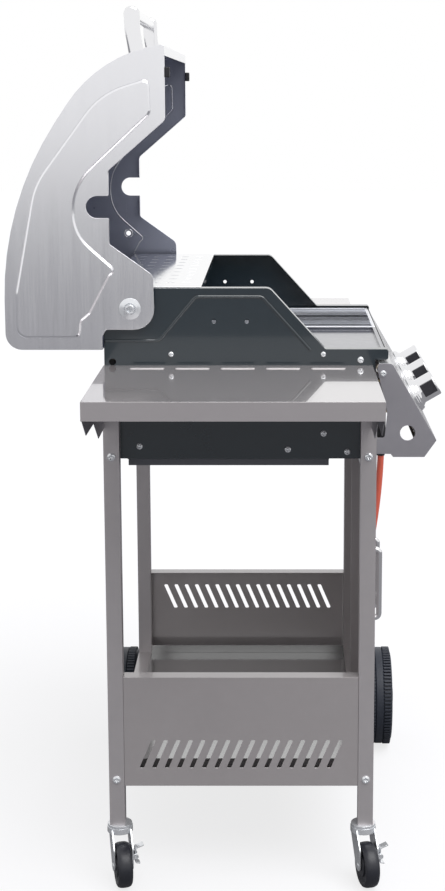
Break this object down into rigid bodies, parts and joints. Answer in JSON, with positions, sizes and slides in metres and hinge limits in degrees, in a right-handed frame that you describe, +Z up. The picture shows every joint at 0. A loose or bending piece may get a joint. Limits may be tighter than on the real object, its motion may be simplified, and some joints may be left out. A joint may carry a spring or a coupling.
{
  "type": "gas grill",
  "caption": "Free-standing gas grill cart with hinged hood, slanted control panel, two side shelves, cupboard doors, large wheels and swivel casters.",
  "frame": {"origin": "on the floor, under the middle of the whole grill's box with its hood open", "axes": "+Z up, front towards -Y, the user's left towards -X"},
  "size_m": [1.206, 0.7022, 1.4243],
  "materials": {
    "leg_paint": "satin metallic powder coat",
    "panel_paint": "satin metallic powder coat",
    "shelf_steel": "smooth sheet",
    "chrome": "polished",
    "zinc": "bright zinc plate",
    "wheel_plastic": "moulded black",
    "caster_rubber": "dark rubber",
    "firebox_enamel": "heat-proof satin enamel",
    "burner_steel": "plain steel",
    "cast_iron": "enamelled cast iron",
    "rack_chrome": "bright perforated sheet",
    "hood_steel": "brushed stainless sheet",
    "bumper_rubber": "black rubber",
    "bracket_paint": "satin metallic powder coat",
    "panel_steel": "brushed stainless sheet",
    "brass": "plain brass",
    "shelf_paint": "smooth metallic powder coat",
    "hose_rubber": "orange-red gas hose",
    "regulator_zinc": "die-cast, grey"
  },
  "bodies": {
    "cart": {"leg_front_left": "leg_paint", "leg_front_right": "leg_paint", "leg_rear_left": "leg_paint", "leg_rear_right": "leg_paint", "side_panel_left": "panel_paint", "side_panel_right": "panel_paint", "bottom_shelf": "shelf_steel", "cross_rails": "leg_paint", "door_pins": "zinc", "axle": "zinc", "caster_plates": "zinc", "firebox_left": "firebox_enamel", "firebox_right": "firebox_enamel", "firebox_front": "firebox_enamel", "firebox_back": "firebox_enamel", "firebox_floor": "firebox_enamel", "burners": "burner_steel", "heat_plates": "burner_steel", "cooking_grate": "cast_iron", "griddle_plate": "cast_iron", "warming_rack": "rack_chrome", "hinge_bolts": "zinc", "control_bracket_left": "bracket_paint", "control_bracket_right": "bracket_paint", "control_panel": "panel_steel", "manifold": "brass", "valves": "brass", "bezels": "chrome", "shelf_left": "shelf_paint", "shelf_right": "shelf_paint", "shelf_brackets": "bracket_paint", "screws": "zinc", "gas_hose": "hose_rubber", "regulator": "regulator_zinc"},
    "hood": {"hood_left": "hood_steel", "hood_right": "hood_steel", "hood_skin": "hood_steel", "handle_posts": "chrome", "handle_bar": "chrome", "lid_bumpers": "bumper_rubber", "hinge_washers": "zinc"},
    "door_left": {"door_left": "panel_paint", "door_handle_left": "chrome"},
    "door_right": {"door_right": "panel_paint", "door_handle_right": "chrome"},
    "grease_tray": {"grease_tray": "burner_steel"},
    "wheel_front": {"wheel_front": "wheel_plastic"},
    "wheel_rear": {"wheel_rear": "wheel_plastic"},
    "fork_front": {"caster_fork_front": "zinc"},
    "fork_rear": {"caster_fork_rear": "zinc"},
    "caster_wheel_front": {"caster_wheel_front": "caster_rubber"},
    "caster_wheel_rear": {"caster_wheel_rear": "caster_rubber"},
    "brake_front": {"caster_brake_front": "zinc"},
    "brake_rear": {"caster_brake_rear": "zinc"},
    "stem_left": {"stem_left": "zinc"},
    "knob_left": {"knob_left": "chrome"},
    "stem_middle": {"stem_middle": "zinc"},
    "knob_middle": {"knob_middle": "chrome"},
    "stem_right": {"stem_right": "zinc"},
    "knob_right": {"knob_right": "chrome"}
  },
  "joints": [
    {"name": "lid_hinge", "type": "hinge", "parent": "cart", "child": "hood", "pos_m": [0, 0.155, 0.955], "axis": [1, 0, 0], "range_deg": [0, 90]},
    {"name": "door_left_hinge", "type": "hinge", "parent": "cart", "child": "door_left", "pos_m": [-0.271, -0.2275, 0.45], "axis": [0, 0, -1], "range_deg": [0, 95]},
    {"name": "door_right_hinge", "type": "hinge", "parent": "cart", "child": "door_right", "pos_m": [0.271, -0.2275, 0.45], "axis": [0, 0, 1], "range_deg": [0, 95]},
    {"name": "tray_slide", "type": "slide", "parent": "cart", "child": "grease_tray", "axis": [0, 1, 0], "range_m": [0, 0.25]},
    {"name": "wheel_front_spin", "type": "hinge", "parent": "cart", "child": "wheel_front", "pos_m": [0.2985, -0.278, 0.096], "axis": [0, 1, 0], "continuous": true},
    {"name": "wheel_rear_spin", "type": "hinge", "parent": "cart", "child": "wheel_rear", "pos_m": [0.2985, 0.2285, 0.096], "axis": [0, 1, 0], "continuous": true},
    {"name": "caster_front_swivel", "type": "hinge", "parent": "cart", "child": "fork_front", "pos_m": [-0.2985, -0.218, 0.09], "axis": [0, 0, 1], "continuous": true},
    {"name": "caster_front_spin", "type": "hinge", "parent": "fork_front", "child": "caster_wheel_front", "pos_m": [-0.32373, -0.22429, 0.037], "axis": [0.2419, -0.9703, 0], "continuous": true},
    {"name": "caster_front_brake", "type": "hinge", "parent": "fork_front", "child": "brake_front", "pos_m": [-0.31877, -0.24418, 0.052], "axis": [0.9703, 0.2419, 0], "range_deg": [0, 12]},
    {"name": "caster_rear_swivel", "type": "hinge", "parent": "cart", "child": "fork_rear", "pos_m": [-0.2985, 0.184, 0.09], "axis": [0, 0, 1], "continuous": true},
    {"name": "caster_rear_spin", "type": "hinge", "parent": "fork_rear", "child": "caster_wheel_rear", "pos_m": [-0.32373, 0.17771, 0.037], "axis": [0.2419, -0.9703, 0], "continuous": true},
    {"name": "caster_rear_brake", "type": "hinge", "parent": "fork_rear", "child": "brake_rear", "pos_m": [-0.31877, 0.15782, 0.052], "axis": [0.9703, 0.2419, 0], "range_deg": [0, 12]},
    {"name": "knob_left_push", "type": "slide", "parent": "cart", "child": "stem_left", "axis": [0, 0.8645, -0.5026], "range_m": [0, 0.003], "stiffness_N_per_m": 2000, "springref_m": -0.003},
    {"name": "knob_left_turn", "type": "hinge", "parent": "stem_left", "child": "knob_left", "pos_m": [-0.15, -0.30273, 0.79046], "axis": [0, -0.8645, 0.5026], "range_deg": [0, 210]},
    {"name": "knob_middle_push", "type": "slide", "parent": "cart", "child": "stem_middle", "axis": [0, 0.8645, -0.5026], "range_m": [0, 0.003], "stiffness_N_per_m": 2000, "springref_m": -0.003},
    {"name": "knob_middle_turn", "type": "hinge", "parent": "stem_middle", "child": "knob_middle", "pos_m": [0, -0.30273, 0.79046], "axis": [0, -0.8645, 0.5026], "range_deg": [0, 210]},
    {"name": "knob_right_push", "type": "slide", "parent": "cart", "child": "stem_right", "axis": [0, 0.8645, -0.5026], "range_m": [0, 0.003], "stiffness_N_per_m": 2000, "springref_m": -0.003},
    {"name": "knob_right_turn", "type": "hinge", "parent": "stem_right", "child": "knob_right", "pos_m": [0.15, -0.30273, 0.79046], "axis": [0, -0.8645, 0.5026], "range_deg": [0, 210]}
  ]
}
